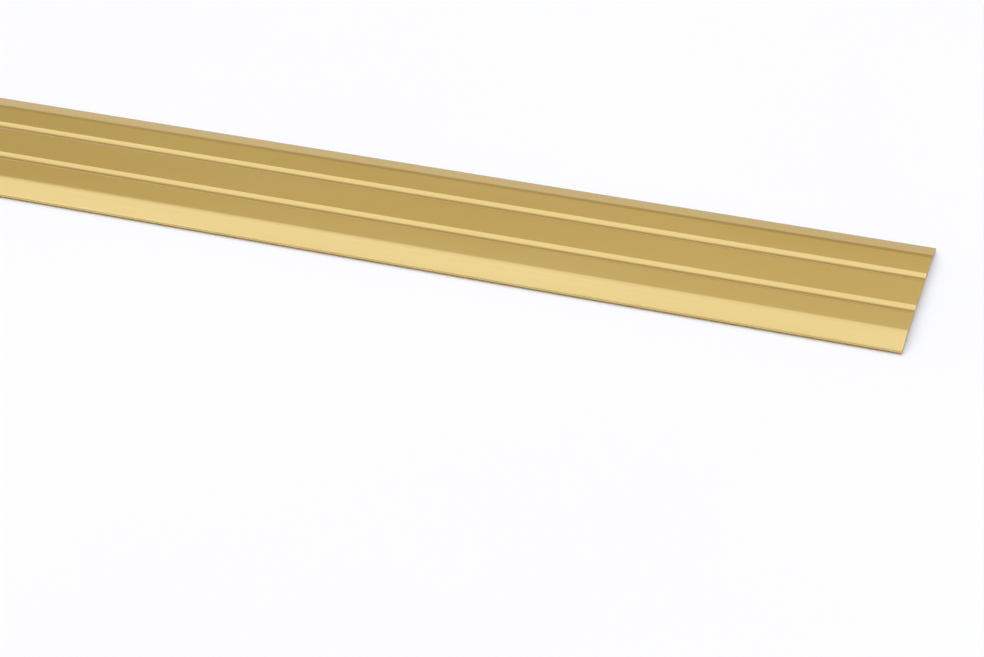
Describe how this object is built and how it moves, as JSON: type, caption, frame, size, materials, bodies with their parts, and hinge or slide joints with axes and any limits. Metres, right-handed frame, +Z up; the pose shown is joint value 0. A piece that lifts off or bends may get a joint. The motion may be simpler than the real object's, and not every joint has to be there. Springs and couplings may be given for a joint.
{
  "type": "threshold strip",
  "caption": "Low gold anodised aluminium threshold strip with sloped sides and shallow flutes, self-adhesive, with foam tapes and peel-off liners underneath.",
  "frame": {"origin": "middle of the length and width, on the surface that the release liners lie on", "axes": "+X along the strip, +Y across it to the rear, +Z up, away from the floor"},
  "size_m": [0.9, 0.038, 0.0018],
  "materials": {
    "gold_anodised_aluminium": "satin gold anodised, with fine extrusion lines along the length",
    "foam": "closed-cell white foam",
    "adhesive": "clear tacky acrylic film",
    "release_paper": "silicone-coated paper, smooth"
  },
  "bodies": {
    "strip": {"aluminium_profile": "gold_anodised_aluminium", "front_upper_adhesive": "adhesive", "front_foam_core": "foam", "front_lower_adhesive": "adhesive", "rear_upper_adhesive": "adhesive", "rear_foam_core": "foam", "rear_lower_adhesive": "adhesive"},
    "front_liner": {"front_release_liner": "release_paper"},
    "rear_liner": {"rear_release_liner": "release_paper"}
  },
  "joints": [
    {"name": "front_liner_peel", "type": "slide", "parent": "strip", "child": "front_liner", "axis": [0, -1, 0], "range_m": [0, 0.03]},
    {"name": "rear_liner_peel", "type": "slide", "parent": "strip", "child": "rear_liner", "axis": [0, 1, 0], "range_m": [0, 0.03]}
  ]
}
